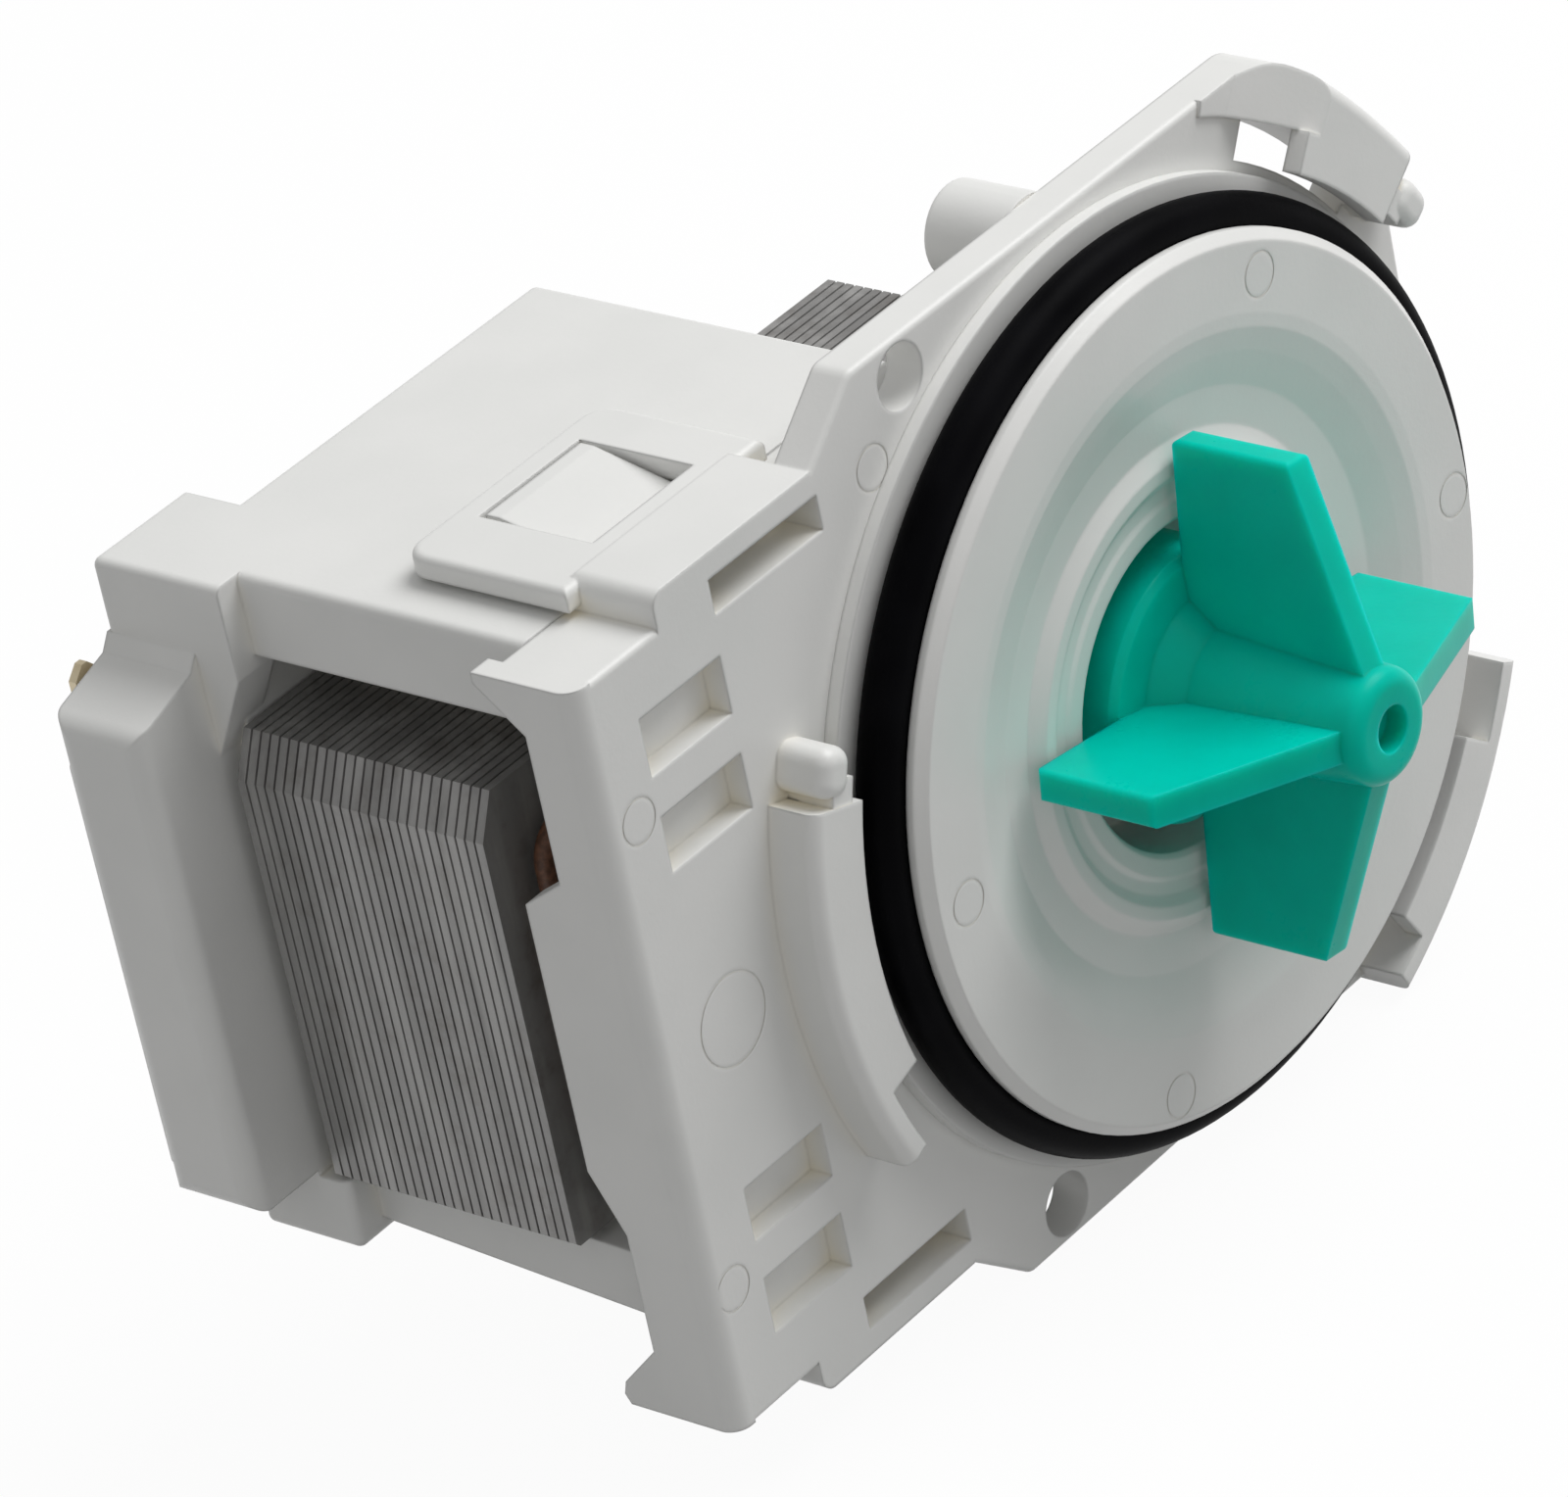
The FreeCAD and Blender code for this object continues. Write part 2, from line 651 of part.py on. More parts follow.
def core_outline(inset):
    """Outline of one sheet: a C with two legs, open to the right, yoke on the left."""
    left = core_left + inset
    right = core_right - inset
    high = core_half_height - inset
    low = leg_inner + inset
    slot_left = core_left + yoke_width - inset
    drop = high + yoke_drop
    step_x = core_left + yoke_width - yoke_corner - inset
    return [
        (left, high - yoke_chamfer_z), (left + yoke_chamfer_x, high), (right, high), (right, low),
        (slot_left, low), (slot_left, -low), (right, -low), (right, -high), (step_x, -high),
        (step_x, -drop), (left + yoke_corner, -drop), (left, yoke_corner - drop),
    ]


def stator_core():
    sheet = stack_depth / sheet_count
    groove = sheet * groove_share
    body = prism_y(core_outline(groove_depth), core_front + groove, core_back - groove)
    for index in range(sheet_count):
        front = core_front + index * sheet + groove / 2
        body = body.fuse(prism_y(core_outline(0), front, front + sheet - groove))
    return body.cut(tube(0, pole_radius, core_front - 1, core_back + 1))


def bobbin():
    """Spool round the upper leg; the lower one is its mirror image."""
    c = bobbin_clearance
    w = bobbin_wall
    grow = c + w + coil_build + wire_diameter + flange_overhang
    y0, y1 = core_front, core_back
    z0, z1 = leg_inner, core_half_height
    body = box(coil_left, coil_right, y0 - c - w, y1 + c + w, z0 - c - w, z1 + c + w)
    for x in (coil_left, coil_right - bobbin_flange):
        body = body.fuse(box(x, x + bobbin_flange, y0 - grow, y1 + grow, z0 - grow, z1 + grow))
    return body.cut(box(coil_left - 1, coil_right + 1, y0 - c, y1 + c, z0 - c, z1 + c))


def coil_body():
    """Inner layers of a coil, wound tight, as one plain block under the outer layer."""
    c = bobbin_clearance + bobbin_wall
    y0, y1 = core_front - c, core_back + c
    z0, z1 = leg_inner - c, core_half_height + c
    left = coil_left + bobbin_flange
    right = coil_right - bobbin_flange
    outer = box(left, right, y0 - coil_build, y1 + coil_build, z0 - coil_build, z1 + coil_build)
    along = [e for e in outer.Edges if abs(e.Vertexes[0].Y - e.Vertexes[-1].Y) < 1e-6
             and abs(e.Vertexes[0].Z - e.Vertexes[-1].Z) < 1e-6]
    outer = outer.makeFillet(coil_build, along)
    return outer.cut(box(left - 1, right + 1, y0, y1, z0, z1))


def biarc(p0, t0, p1, t1):
    """Two arcs from p0 to p1 that leave along t0 and arrive along t1."""
    chord = p1 - p0
    both = t0 + t1
    turn = 2.0 * (1.0 - t0.dot(t1))
    reach = chord.dot(both)
    d = (-reach + math.sqrt(reach * reach + turn * chord.dot(chord))) / turn
    joint = (p0 + p1 + (t0 - t1) * d) * 0.5
    arcs = []
    for start, tangent, end in ((p0, t0, joint), (p1, t1 * -1.0, joint)):
        span = end - start
        side = span - tangent * span.dot(tangent)
        side.normalize()
        radius = span.dot(span) / (2.0 * span.dot(side))
        centre = start + side * radius
        out = (start - centre) + (end - centre)
        out.normalize()
        middle = centre + out * radius
        ends = (start, middle, end) if start is p0 else (end, middle, start)
        arcs.append(Part.Arc(*ends).toShape())
    return arcs


def winding_corner_points():
    """Stations of the outer layer: (point, tangent) at both ends of every corner."""
    off = bobbin_clearance + bobbin_wall + coil_build + wire_seat + wire_diameter / 2
    radius = coil_build + wire_seat + wire_diameter / 2
    y0, y1 = core_front - off, core_back + off
    z0, z1 = leg_inner - off, core_half_height + off
    stations = [
        ((y0, z1 - radius), (0, 1)), ((y0 + radius, z1), (1, 0)),
        ((y1 - radius, z1), (1, 0)), ((y1, z1 - radius), (0, -1)),
        ((y1, z0 + radius), (0, -1)), ((y1 - radius, z0), (-1, 0)),
        ((y0 + radius, z0), (-1, 0)), ((y0, z0 + radius), (0, 1)),
    ]
    return stations, radius


def winding():
    """Outer layer of turns: one unbroken wire that climbs evenly from flange to flange."""
    stations, radius = winding_corner_points()
    margin = wire_diameter / 2 + 0.15
    start_x = coil_left + bobbin_flange + margin
    end_x = coil_right - bobbin_flange - margin
    lengths = []
    for index, (place, heading) in enumerate(stations):
        following = stations[(index + 1) % len(stations)][0]
        straight = math.hypot(following[0] - place[0], following[1] - place[1])
        lengths.append(math.pi / 2 * radius if index % 2 == 0 else straight)
    around = sum(lengths)
    pitch = (end_x - start_x) / wire_turns
    slope = pitch / around
    norm = math.hypot(1.0, slope)
    edges = []
    travelled = 0.0
    points = []
    for turn in range(wire_turns):
        for index, (place, heading) in enumerate(stations):
            after, after_heading = stations[(index + 1) % len(stations)]
            p0 = V(start_x + slope * travelled, place[0], place[1])
            travelled += lengths[index]
            p1 = V(start_x + slope * travelled, after[0], after[1])
            points.append(p0)
            if index % 2 == 0:
                t0 = V(slope / norm, heading[0] / norm, heading[1] / norm)
                t1 = V(slope / norm, after_heading[0] / norm, after_heading[1] / norm)
                edges.extend(biarc(p0, t0, p1, t1))
            else:
                edges.append(Part.LineSegment(p0, p1).toShape())
    up = V(slope / norm, 0, 1.0 / norm)
    begin = points[0] - up * wire_lead
    edges.insert(0, Part.LineSegment(begin, points[0]).toShape())
    section = Part.Wire(Part.makeCircle(wire_diameter / 2, begin, up))
    sweep = Part.BRepOffsetAPI.MakePipeShell(Part.Wire(edges))
    sweep.add(section)
    sweep.build()
    sweep.makeSolid()
    print("winding: %d turns, pitch %.3f, least gap %.3f" % (wire_turns, pitch, least_gap(points, pitch)))
    return sweep.shape()


def coil_link():
    """Sleeved wire that joins the two coils, run down the front of the yoke."""
    y = core_front - free_gap - link_radius
    flange = coil_left - seat_gap
    corner = link_bend * (1.0 - math.sqrt(0.5))
    edges = []
    for side in (1, -1):
        level = side * link_z
        run = Part.LineSegment(V(flange, y, level), V(link_x + link_bend, y, level))
        bend = Part.Arc(V(link_x + link_bend, y, level), V(link_x + corner, y, level - side * corner),
                        V(link_x, y, level - side * link_bend))
        edges.append([run.toShape(), bend.toShape()])
    down = Part.LineSegment(V(link_x, y, link_z - link_bend), V(link_x, y, link_bend - link_z)).toShape()
    path = Part.Wire(edges[0] + [down] + edges[1][::-1])
    section = Part.Wire(Part.makeCircle(link_radius, V(flange, y, link_z), V(1, 0, 0)))
    sweep = Part.BRepOffsetAPI.MakePipeShell(path)
    sweep.add(section)
    sweep.build()
    sweep.makeSolid()
    return sweep.shape()


def least_gap(points, pitch):
    """Least free space between neighbouring turns, measured on the corner stations."""
    per_turn = len(points) // wire_turns
    gaps = []
    for index in range(len(points) - per_turn):
        gaps.append((points[index + per_turn] - points[index]).Length - wire_diameter)
    return min(gaps)


def terminal_strip(x, run_z, grow):
    """Brass blade that stands behind the block and runs in to the coil's flange."""
    half = blade_width / 2 + grow
    y0 = block_back + 0.6
    y1 = y0 + blade_strip
    run_y0 = block_front + 0.8
    run_y1 = run_y0 + blade_strip
    low = run_z - strip_height / 2
    high = run_z + strip_height / 2
    outline = [
        (x - half, low - grow), (x + half, low - grow), (x + half, blade_top - blade_tip),
        (x + half - blade_tip, blade_top), (x - half + blade_tip, blade_top), (x - half, blade_top - blade_tip),
    ]
    blade = prism_y(outline, y0 - grow, y1 + grow)
    thin = blade_strip / 2 + grow
    through = box(x - thin, x + thin, run_y0 - grow, y1, low - grow, high + grow)
    run = box(x - thin, coil_left - seat_gap, run_y0 - grow, run_y1 + grow, low - grow, high + grow)
    return blade.fuse(through).fuse(run)


def catch(side):
    """Ramped catch that the latch loop snaps over: low at the front, with a flat crest behind."""
    low_z = cover_half_height - 0.5
    high_z = cover_half_height + catch_rise
    front = loop_opening_front + catch_gap
    back = loop_opening_back - catch_gap
    left, right = loop_spans[side][2:]
    outline = [(front, low_z), (front, cover_half_height + catch_start_rise), (back - catch_crest, high_z),
               (back, high_z), (back, low_z)]
    return sided(prism_x(outline, left + catch_gap, right - catch_gap), side)


def connector_block():
    """Block at the rear left: stepped housing, foot and the shelf that holds the blades."""
    left_outline = [
        (block_left, block_bottom), (block_left, block_top_left), (housing_left - 1.0, block_top_right),
        (housing_left, block_top_right + 1.4), (housing_right, block_top_right + 1.4),
        (housing_right, block_bottom),
    ]
    block = prism_y(left_outline, block_front, block_back)
    left_face = [e for e in block.Edges if e.BoundBox.XMin < block_left + 1e-3
                 and e.BoundBox.XMax < housing_left - 1.5]
    block = block.makeFillet(block_edge_round, left_face)
    upper = rounded_box(housing_left, housing_right, housing_front, block_back, window_top,
                        cover_half_height, cover_edge_round,
                        (("x", housing_right), ("y", housing_front), ("z", window_top)))
    ramp_side = [(housing_front, window_top + 1.0), (housing_front, housing_ramp_top),
                 (block_front, housing_ramp_foot), (block_back - 1.0, housing_ramp_foot),
                 (block_back - 1.0, window_top + 1.0)]
    upper = upper.fuse(prism_x(ramp_side, housing_left, cover_left + cover_wall))
    foot_left = cover_left - foot_proud
    foot = rounded_box(foot_left, notch_right, foot_front, foot_back, foot_bottom, rail_high_back,
                       cover_edge_round, (("x", notch_right), ("z", rail_high_back)))
    foot = foot.fuse(box(foot_left, notch_right, block_front, foot_back, rail_high_back - 1.0, block_bottom + 1.0))
    shelf = rounded_box(shelf_left, shelf_right, block_back - 0.5, shelf_back, block_bottom, shelf_top,
                        cover_edge_round, (("y", block_back - 0.5),))
    return block.fuse(upper).fuse(foot).fuse(shelf)


def motor_cover():
    half = cover_half_height
    w = cover_wall
    body = rounded_box(cover_left, cover_right, cover_front, cover_back, -half, half,
                       cover_edge_round, (("y", cover_front),))
    body = body.fuse(rounded_box(notch_right, cover_right - cover_edge_round, cover_back - 1, hump_back,
                                 -hump_half_height, hump_half_height, cover_edge_round, (("y", cover_back - 1),)))
    below_rail = [(cover_front - 1, -half - 1), (cover_front - 1, rail_low_front), (cover_front, rail_low_front),
                  (cover_back, rail_low_back), (cover_back + 1, rail_low_back), (cover_back + 1, -half - 1)]
    body = body.cut(prism_x(below_rail, cover_left - 1, notch_right))
    inner_left = notch_right + w
    body = body.cut(box(cover_left + w, cover_right - w, cover_front - 1, cover_back - w,
                        rail_high_back, half - w))
    body = body.cut(box(inner_left, cover_right - w, cover_front - 1, cover_back - w, -half + w, half - w))
    body = body.cut(box(notch_right + hump_wall, cover_right - hump_wall, cover_front, hump_back - hump_wall,
                        -hump_half_height + hump_wall, hump_half_height - hump_wall))
    body = body.fuse(box(cover_left + 0.5, coil_left - 0.6, core_back + free_gap, cover_back - 0.5,
                         rail_high_back, window_top))
    window = [(cover_front - 1, rail_high_front), (core_back + free_gap, rail_high_back),
              (core_back + free_gap, window_top), (cover_front - 1, window_top)]
    body = body.cut(prism_x(window, cover_left - foot_proud - 1, cover_left + w + 1))
    body = body.fuse(connector_block())
    body = body.cut(box(cover_right - w - 1, cover_right + 1, cover_front - 1, core_back + free_gap,
                        -core_half_height - 0.4, core_half_height + 0.4))
    for side in (1, -1):
        body = body.fuse(catch(side))
    for x, run_z in terminal_places:
        body = body.cut(terminal_strip(x, run_z, 0.1))
    return body.removeSplitter()


def rotor_magnet():
    body = tube(shaft_radius + carrier_wall, magnet_radius, core_front, core_back)
    return body.makeChamfer(0.4, [e for e in body.Edges if e.BoundBox.XMax > magnet_radius - 0.01
                                  and e.BoundBox.YLength < 0.01])


def rotor_carrier():
    sleeve = tube(shaft_radius, shaft_radius + carrier_wall, core_front, core_back)
    front = tube(shaft_radius, magnet_radius - 1.0, carrier_front, core_front)
    back = tube(shaft_radius, magnet_radius - 1.0, core_back, carrier_back)
    return sleeve.fuse(front).fuse(back).removeSplitter()


def rotor_shaft():
    length = shaft_nose + rear_bearing_back - 0.6
    shaft = Part.makeCylinder(shaft_radius, length, V(0, -shaft_nose, 0), AXIS)
    return shaft.makeChamfer(0.3, [e for e in shaft.Edges if e.BoundBox.YLength < 0.01])


def terminals():
    return Part.makeCompound([terminal_strip(x, run_z, 0.0) for x, run_z in terminal_places])


def bearing_retainer():
    return tube(shaft_radius + 1.0, can_inner - seat_gap, bore_floor, bore_floor + retainer_thickness)


def build():
    upper_bobbin = bobbin()
    upper_body = coil_body()
    upper_wire = winding()
    return {
        "front_cover": front_cover(),
        "wet_end_disc": wet_end(),
        "seal_ring": seal_ring(),
        "motor_cover": motor_cover(),
        "stator_core": stator_core(),
        "bobbin_upper": upper_bobbin,
        "bobbin_lower": mirrored_z(upper_bobbin),
        "coil_body_upper": upper_body,
        "coil_body_lower": mirrored_z(upper_body),
        "coil_wire_upper": upper_wire,
        "coil_wire_lower": mirrored_z(upper_wire),
        "coil_link": coil_link(),
        "terminals": terminals(),
        "bearing_retainer": bearing_retainer(),
        "front_bearing": bearing(bearing_front),
        "front_bearing_rubber": bearing_rubber(bearing_front),
        "rear_bearing": bearing(rear_bearing_front),
        "rear_bearing_rubber": bearing_rubber(rear_bearing_front),
        "rotor_shaft": rotor_shaft(),
        "rotor_carrier": rotor_carrier(),
        "rotor_magnet": rotor_magnet(),
        "thrust_washers": thrust_washers(),
        "drive_dog": drive_dog(),
        "impeller": impeller(),
    }


os.makedirs("parts", exist_ok=True)
for node, shape in build().items():
    print("%-22s solids %d  valid %s  volume %.1f" % (node, len(shape.Solids), shape.isValid(), shape.Volume))
    shape.exportStep("parts/%s.step" % node)
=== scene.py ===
from math import radians

import bmesh
import bpy
from mathutils import Euler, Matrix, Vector


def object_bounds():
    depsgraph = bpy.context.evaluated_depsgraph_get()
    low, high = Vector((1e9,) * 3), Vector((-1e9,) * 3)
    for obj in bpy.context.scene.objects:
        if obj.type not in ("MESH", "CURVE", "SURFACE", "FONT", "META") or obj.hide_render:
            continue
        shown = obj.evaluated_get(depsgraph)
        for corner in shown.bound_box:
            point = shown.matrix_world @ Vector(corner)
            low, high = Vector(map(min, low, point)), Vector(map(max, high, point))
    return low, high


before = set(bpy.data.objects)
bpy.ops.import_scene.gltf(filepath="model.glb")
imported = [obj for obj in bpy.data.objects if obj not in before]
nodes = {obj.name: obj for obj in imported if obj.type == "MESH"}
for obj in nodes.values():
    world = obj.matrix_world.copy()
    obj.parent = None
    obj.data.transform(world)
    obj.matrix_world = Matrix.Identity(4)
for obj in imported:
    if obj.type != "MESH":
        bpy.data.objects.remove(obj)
cad_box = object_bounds()

MM = 0.001

# Camera: a long lens above and to the left of the pump's front
camera_place = Vector((-490.44, -437.78, 378.49)) * MM
camera_turn = Euler((radians(59.4737), radians(10.4485), radians(-51.7473)))
camera_lens = 213.587
camera_sensor = 36.0
camera_near = 0.01
camera_far = 50.0

# Sheets of the stator stack
stack_front = 14.8 * MM
sheet_pitch = 1.0 * MM

# How far the painted warm light in the white plastic's deep corners reaches; it stands in for light
# shining through the plastic into its hollows
painted_glow_reach = 4.0 * MM

# How round the edges of each plastic look
white_edge = 0.45 * MM
teal_edge = 0.35 * MM
nylon_edge = 0.2 * MM

# How far light travels inside the impeller's plastic
teal_depth = 3.2 * MM

# Floor: how far it reaches, how far it lies below the pump, its own grey,
# the grey that the camera sees, and how much of that is plain white
floor_reach = 6.0
floor_drop = 0.5 * MM
floor_grey = (0.35, 0.35, 0.35)
floor_seen = (0.92, 0.92, 0.92)
floor_white_share = 0.95

# Light: even light from all sides, and one soft lamp above the right front
world_strength = 0.45
lamp_place = (0.6, -0.3, 1.0)
lamp_width = 0.9
lamp_power = 11.0

# Sockets of a Mix node that mixes colours
MIX_FACTOR, MIX_FIRST, MIX_SECOND, MIX_RESULT = 0, 6, 7, 2


class Value:
    """A socket that takes part in Python expressions."""

    def __init__(self, finish, socket):
        self.finish = finish
        self.socket = socket

    def maths(self, operation, first, second=0.0):
        return self.finish.node("ShaderNodeMath", {"operation": operation}, {0: first, 1: second})

    def __add__(self, other):
        return self.maths("ADD", self, other)

    def __sub__(self, other):
        return self.maths("SUBTRACT", self, other)

    def __rsub__(self, other):
        return self.maths("SUBTRACT", other, self)

    def __mul__(self, other):
        return self.maths("MULTIPLY", self, other)

    def __truediv__(self, other):
        return self.maths("DIVIDE", self, other)

    def floor(self):
        return self.maths("FLOOR", self)

    def fraction(self):
        return self.maths("FRACT", self)

    def size(self):
        return self.maths("ABSOLUTE", self)

    def above(self, other):
        return self.maths("GREATER_THAN", self, other)

    def at_most(self, other):
        return self.maths("MINIMUM", self, other)

    def ramp(self, low, high, first=0.0, last=1.0):
        return self.finish.node(
            "ShaderNodeMapRange", {"interpolation_type": "SMOOTHSTEP"},
            {"Value": self, "From Min": low, "From Max": high, "To Min": first, "To Max": last})


class Finish:
    """A material whose Principled shader takes constants at once and patterns later."""

    def __init__(self, name, colour, roughness, **constants):
        self.material = bpy.data.materials.new(name)
        self.material.use_nodes = True
        self.tree = self.material.node_tree
        self.shader = self.tree.nodes["Principled BSDF"]
        self.material.diffuse_color = (*colour, 1.0)
        self.shader.inputs["Base Color"].default_value = (*colour, 1.0)
        self.shader.inputs["Roughness"].default_value = roughness
        for socket, number in constants.items():
            self.shader.inputs[socket.replace("_", " ")].default_value = number
        self.place = self.node("ShaderNodeTexCoord", output="Object")

    def node(self, kind, settings=None, inputs=None, output=0):
        made = self.tree.nodes.new(kind)
        for key, setting in (settings or {}).items():
            setattr(made, key, setting)
        for key, source in (inputs or {}).items():
            self.feed(made.inputs[key], source)
        return Value(self, made.outputs[output])

    def feed(self, socket, source):
        if isinstance(source, Value):
            self.tree.links.new(source.socket, socket)
        else:
            socket.default_value = source

    def part_of(self, vector, axis):
        return self.node("ShaderNodeSeparateXYZ", inputs={0: vector}, output=axis)

    def noise(self, scale, detail=2.0, roughness=0.5, stretch=None):
        place = self.place
        if stretch:
            place = self.node("ShaderNodeMapping", inputs={"Vector": place, "Scale": stretch})
        return self.node(
            "ShaderNodeTexNoise",
            inputs={"Vector": place, "Scale": scale, "Detail": detail, "Roughness": roughness})

    def mix(self, factor, first, second):
        made = self.tree.nodes.new("ShaderNodeMix")
        made.data_type = "RGBA"
        self.feed(made.inputs[MIX_FACTOR], factor)
        for index, colour in ((MIX_FIRST, first), (MIX_SECOND, second)):
            self.feed(made.inputs[index], colour if isinstance(colour, Value) else (*colour, 1.0))
        return Value(self, made.outputs[MIX_RESULT])

    def colour(self, source):
        self.feed(self.shader.inputs["Base Color"], source)

    def roughness(self, source):
        self.feed(self.shader.inputs["Roughness"], source)

    def relief(self, height, depth, strength, edge_radius=None):
        """Bump from a height, over edges that look rounded where a radius is given."""
        inputs = {"Height": height, "Distance": depth, "Strength": strength}
        if edge_radius:
            inputs["Normal"] = self.node("ShaderNodeBevel", {"samples": 6}, {"Radius": edge_radius})
        self.feed(self.shader.inputs["Normal"], self.node("ShaderNodeBump", inputs=inputs))


def moulded_white():
    finish = Finish("moulded_white", (0.79, 0.79, 0.765), 0.36, IOR=1.49)
    cloud = finish.noise(70.0, 3.0)
    grain = finish.noise(1800.0, 3.0, 0.6)
    shade = finish.mix(cloud.ramp(0.35, 0.7), (0.8, 0.8, 0.782), (0.768, 0.77, 0.752))
    # Painted light: deep corners are mixed towards a lighter warm colour, which stands in for light
    # shining through the plastic and lifts their shade
    painted_glow = finish.node("ShaderNodeAmbientOcclusion", {"samples": 6, "only_local": True},
                         {"Distance": painted_glow_reach}, output="AO")
    finish.colour(finish.mix(painted_glow.ramp(0.15, 0.68, 0.85, 0.0), shade, (0.97, 0.91, 0.76)))
    finish.roughness(grain * 0.12 + cloud * 0.1 + 0.27)
    finish.relief(grain + cloud * 0.6, depth=0.04 * MM, strength=0.35, edge_radius=white_edge)
    return finish.material


def seal_black():
    finish = Finish("seal_black", (0.002, 0.002, 0.003), 0.5, Specular_IOR_Level=0.03)
    grain = finish.noise(2600.0, 3.0, 0.6)
    bloom = finish.noise(90.0, 2.0)
    finish.colour(finish.mix(bloom.ramp(0.4, 0.75), (0.001, 0.001, 0.0015), (0.004, 0.004, 0.005)))
    finish.roughness(bloom * 0.14 + grain * 0.1 + 0.4)
    finish.relief(grain, depth=0.03 * MM, strength=0.4)
    return finish.material


def moulded_teal():
    finish = Finish("moulded_teal", (0.0, 0.55, 0.43), 0.3, IOR=1.49, Specular_IOR_Level=0.08,
                    Subsurface_Weight=0.85, Subsurface_Radius=(0.05, 1.0, 0.85),
                    Subsurface_Scale=teal_depth)
    cloud = finish.noise(120.0, 3.0)
    grain = finish.noise(1500.0, 2.0)
    finish.colour(finish.mix(cloud.ramp(0.3, 0.75), (0.0, 0.57, 0.45), (0.0, 0.51, 0.4)))
    finish.roughness(cloud * 0.14 + grain * 0.06 + 0.2)
    finish.relief(grain + cloud * 2.0, depth=0.04 * MM, strength=0.3, edge_radius=teal_edge)
    return finish.material


def stacked_sheets():
    """Grey sheets, each of its own tone, with dark seams on the edges but not on the end faces."""
    finish = Finish("stacked_sheets", (0.25, 0.25, 0.25), 0.45, Metallic=0.3)
    depth = (finish.part_of(finish.place, "Y") - stack_front) / sheet_pitch
    sheet = depth.floor()
    across = depth.fraction()
    tone = finish.node("ShaderNodeTexWhiteNoise", {"noise_dimensions": "1D"}, {"W": sheet})
    facing = finish.node("ShaderNodeTexCoord", output="Normal")
    edge_on = 1.0 - finish.part_of(facing, "Y").size().above(0.7)
    seam = (across - 0.5).size().ramp(0.34, 0.48) * edge_on * 0.4
    streak = finish.noise(260.0, 4.0, 0.6, (1.0, 1.0, 0.12))
    mottle = finish.noise(330.0, 4.0, 0.65)
    bare = finish.mix(tone, (0.24, 0.236, 0.23), (0.31, 0.305, 0.3))
    bare = finish.mix(mottle.ramp(0.45, 0.75) * 0.6, bare, (0.16, 0.145, 0.13))
    worn = finish.mix(streak.ramp(0.4, 0.75), bare, (0.4, 0.395, 0.385))
    finish.colour(finish.mix(seam, worn, (0.035, 0.034, 0.036)))
    finish.roughness(streak * 0.25 + seam * 0.3 + 0.26)
    finish.relief(streak * 0.4 - seam, depth=0.08 * MM, strength=0.7)
    return finish.material


def enamelled_copper():
    finish = Finish("enamelled_copper", (0.48, 0.2, 0.08), 0.24, Metallic=0.9)
    cloud = finish.noise(220.0, 3.0)
    finish.colour(finish.mix(cloud.ramp(0.3, 0.7), (0.5, 0.2, 0.075), (0.36, 0.13, 0.05)))
    finish.roughness(cloud * 0.2 + 0.15)
    return finish.material


def woven_sleeve():
    finish = Finish("woven_sleeve", (0.14, 0.06, 0.035), 0.6)
    weave = finish.noise(1500.0, 3.0, 0.6)
    finish.colour(finish.mix(weave.ramp(0.35, 0.7), (0.1, 0.045, 0.025), (0.2, 0.09, 0.05)))
    finish.roughness(weave * 0.2 + 0.45)
    finish.relief(weave, depth=0.05 * MM, strength=0.6)
    return finish.material


def stamped_brass():
    finish = Finish("stamped_brass", (0.78, 0.66, 0.44), 0.36, Metallic=0.4)
    cloud = finish.noise(300.0, 3.0)
    brushed = finish.noise(900.0, 3.0, 0.6, (1.0, 1.0, 0.06))
    finish.colour(finish.mix(cloud.ramp(0.35, 0.75), (0.8, 0.69, 0.48), (0.7, 0.56, 0.34)))
    finish.roughness(brushed * 0.3 + 0.16)
    finish.relief(brushed, depth=0.02 * MM, strength=0.4)
    return finish.material


def ground_steel():
    finish = Finish("ground_steel", (0.55, 0.56, 0.58), 0.25, Metallic=1.0)
    turned = finish.noise(700.0, 3.0, 0.6, (0.15, 3.0, 0.15))
    finish.colour(finish.mix(turned.ramp(0.3, 0.7), (0.5, 0.51, 0.53), (0.62, 0.63, 0.65)))
    finish.roughness(turned * 0.25 + 0.12)
    finish.relief(turned, depth=0.01 * MM, strength=0.4)
    return finish.material


def natural_nylon():
    finish = Finish("natural_nylon", (0.72, 0.69, 0.6), 0.45)
    cloud = finish.noise(90.0, 3.0)
    finish.colour(finish.mix(cloud.ramp(0.3, 0.75), (0.74, 0.71, 0.62), (0.68, 0.65, 0.56)))
    finish.roughness(cloud * 0.2 + 0.35)
    finish.relief(finish.noise(1600.0, 3.0), depth=0.03 * MM, strength=0.3, edge_radius=nylon_edge)
    return finish.material


def sintered(name, dark, light, rough):
    finish = Finish(name, dark, rough)
    speck = finish.noise(2400.0, 4.0, 0.7)
    finish.colour(finish.mix(speck.ramp(0.45, 0.7), dark, light))
    finish.roughness(speck * 0.3 + rough - 0.15)
    finish.relief(speck, depth=0.03 * MM, strength=0.5)
    return finish.material


def dress(material, *names):
    for name in names:
        slots = nodes[name].data.materials
        slots.clear()
        slots.append(material)


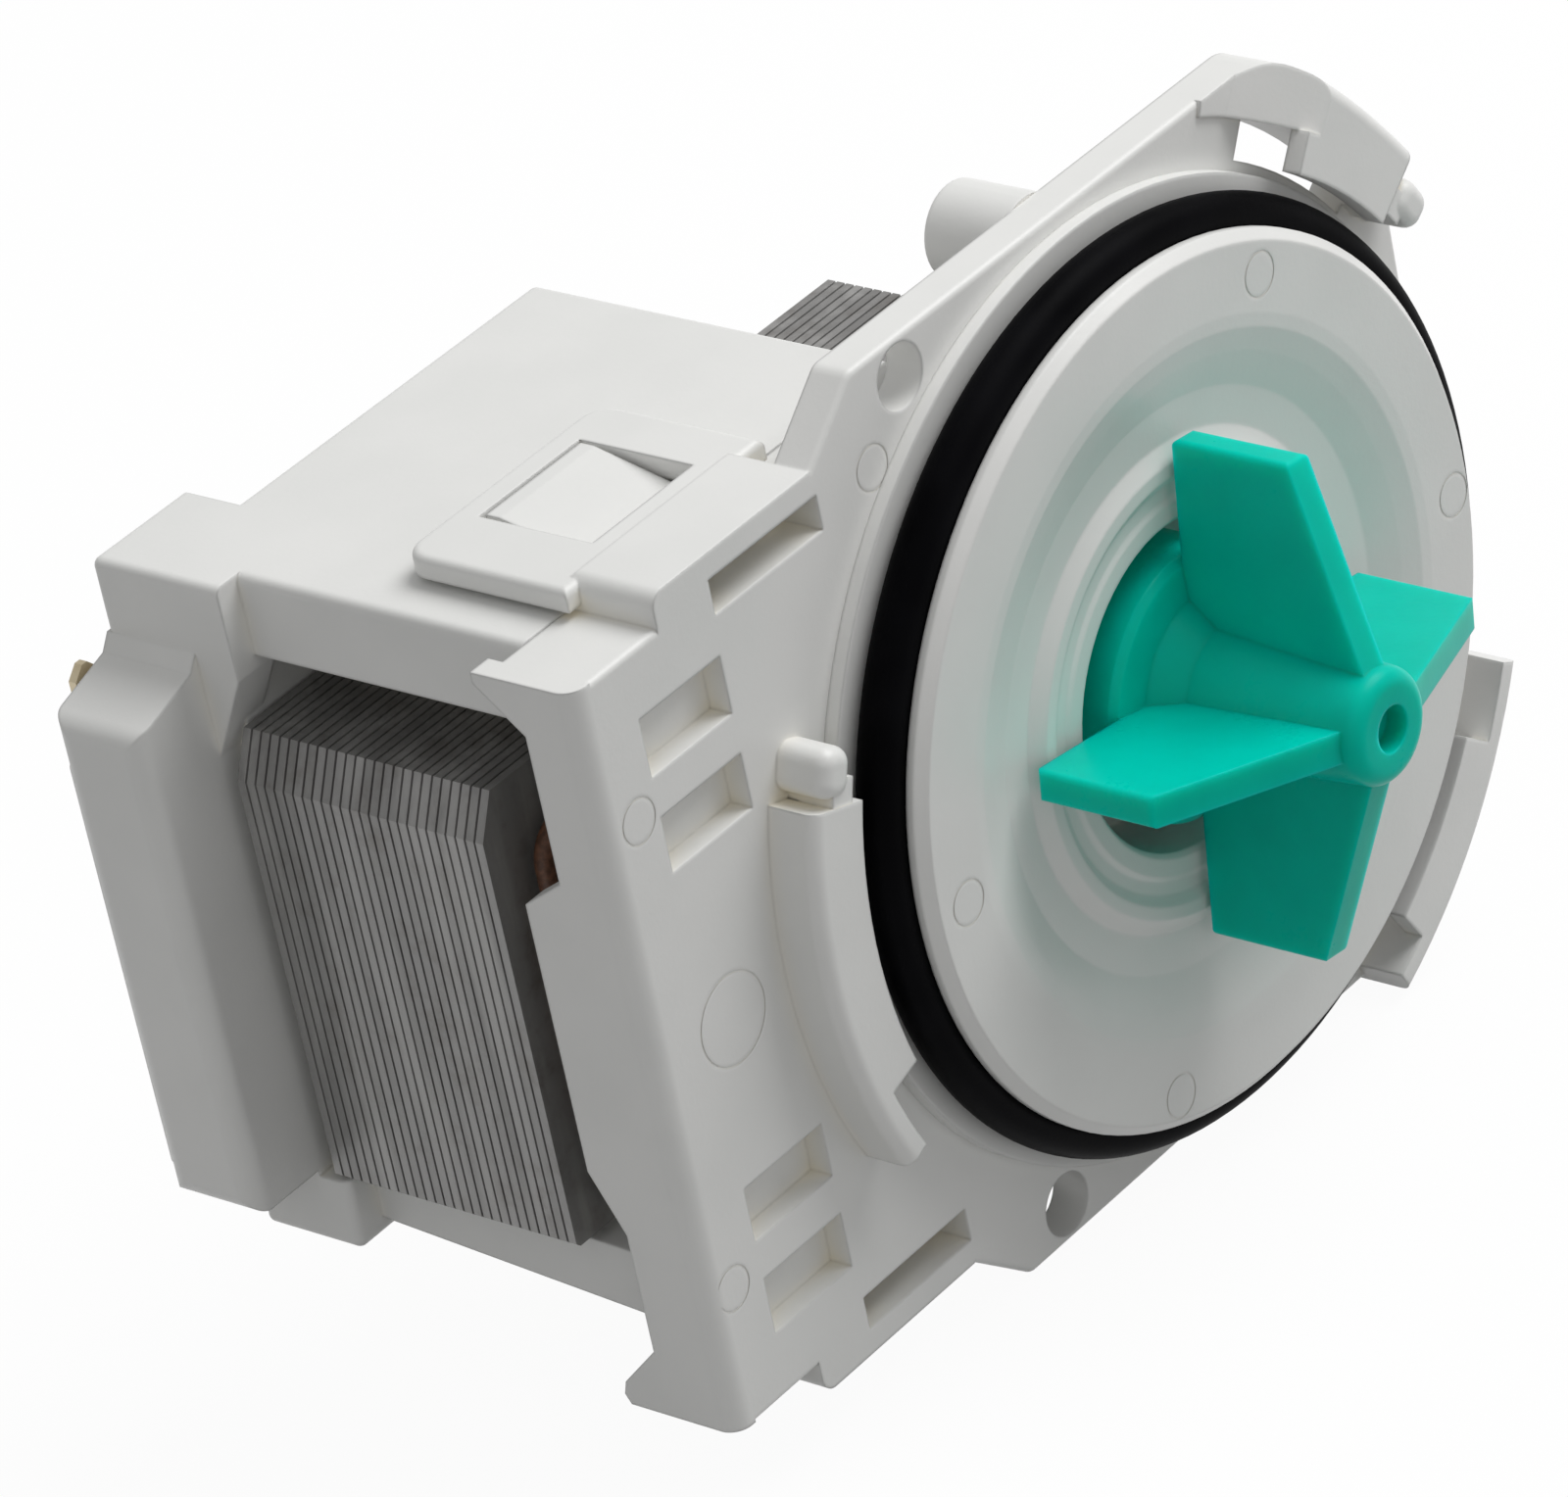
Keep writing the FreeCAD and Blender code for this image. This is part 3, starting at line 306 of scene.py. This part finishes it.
def dress_nodes():
    dress(moulded_white(), "front_cover", "wet_end_disc", "motor_cover")
    dress(seal_black(), "seal_ring")
    dress(moulded_teal(), "impeller")
    dress(stacked_sheets(), "stator_core")
    dress(enamelled_copper(),
          "coil_body_upper", "coil_body_lower", "coil_wire_upper", "coil_wire_lower")
    dress(woven_sleeve(), "coil_link")
    dress(stamped_brass(), "terminals")
    dress(ground_steel(), "rotor_shaft", "thrust_washers")
    dress(natural_nylon(),
          "bobbin_upper", "bobbin_lower", "rotor_carrier", "drive_dog", "bearing_retainer")
    dress(sintered("ferrite", (0.035, 0.035, 0.038), (0.08, 0.08, 0.085), 0.5), "rotor_magnet")
    dress(sintered("carbon_sleeve", (0.03, 0.03, 0.03), (0.06, 0.06, 0.06), 0.4),
          "front_bearing", "rear_bearing")
    dress(sintered("seat_rubber", (0.015, 0.015, 0.016), (0.03, 0.03, 0.03), 0.6),
          "front_bearing_rubber", "rear_bearing_rubber")


def pale_floor():
    """Grey floor that camera and gloss see as nearly white, with the pump's soft shadow on it."""
    finish = Finish("pale_floor", floor_grey, 0.9)
    from_camera = finish.node("ShaderNodeLightPath", output="Is Camera Ray")
    seen = finish.node("ShaderNodeLightPath", output="Is Glossy Ray") + from_camera
    finish.colour(finish.mix(from_camera, floor_grey, floor_seen))
    white = finish.node("ShaderNodeEmission",
                        inputs={"Color": (1.0, 1.0, 1.0, 1.0), "Strength": 1.0})
    both = finish.node("ShaderNodeMixShader", inputs={0: seen.at_most(1.0) * floor_white_share})
    finish.tree.links.new(finish.shader.outputs[0], both.socket.node.inputs[1])
    finish.tree.links.new(white.socket, both.socket.node.inputs[2])
    finish.tree.links.new(both.socket, finish.tree.nodes["Material Output"].inputs["Surface"])
    return finish.material


def floor_and_backdrop():
    """One large plain sheet under the pump, which is the backdrop too."""
    mesh = bmesh.new()
    bmesh.ops.create_grid(mesh, x_segments=1, y_segments=1, size=floor_reach)
    bmesh.ops.translate(mesh, verts=mesh.verts, vec=(0.0, 0.0, cad_box[0][2] - floor_drop))
    data = bpy.data.meshes.new("floor")
    mesh.to_mesh(data)
    mesh.free()
    floor = bpy.data.objects.new("floor", data)
    bpy.context.scene.collection.objects.link(floor)
    data.materials.append(pale_floor())


def soft_lamp():
    """Round lamp that looks at the pump's middle."""
    lamp = bpy.data.lights.new("top_softbox", "AREA")
    lamp.shape = "DISK"
    lamp.size = lamp_width
    lamp.energy = lamp_power
    holder = bpy.data.objects.new("top_softbox", lamp)
    holder.location = lamp_place
    holder.rotation_euler = (-Vector(lamp_place)).to_track_quat("-Z", "Y").to_euler()
    bpy.context.scene.collection.objects.link(holder)
    holder.visible_camera = False


def studio():
    world = bpy.data.worlds.new("studio")
    bpy.context.scene.world = world
    world.use_nodes = True
    back = world.node_tree.nodes["Background"]
    back.inputs["Color"].default_value = (1.0, 1.0, 1.0, 1.0)
    back.inputs["Strength"].default_value = world_strength
    soft_lamp()
    bpy.context.scene.view_settings.view_transform = "Standard"


def camera():
    data = bpy.data.cameras.new("photo_camera")
    data.sensor_fit = "HORIZONTAL"
    data.sensor_width = camera_sensor
    data.lens = camera_lens
    data.clip_start = camera_near
    data.clip_end = camera_far
    holder = bpy.data.objects.new("photo_camera", data)
    holder.location = camera_place
    holder.rotation_euler = camera_turn
    bpy.context.scene.collection.objects.link(holder)
    bpy.context.scene.camera = holder


dress_nodes()
floor_and_backdrop()
studio()
camera()
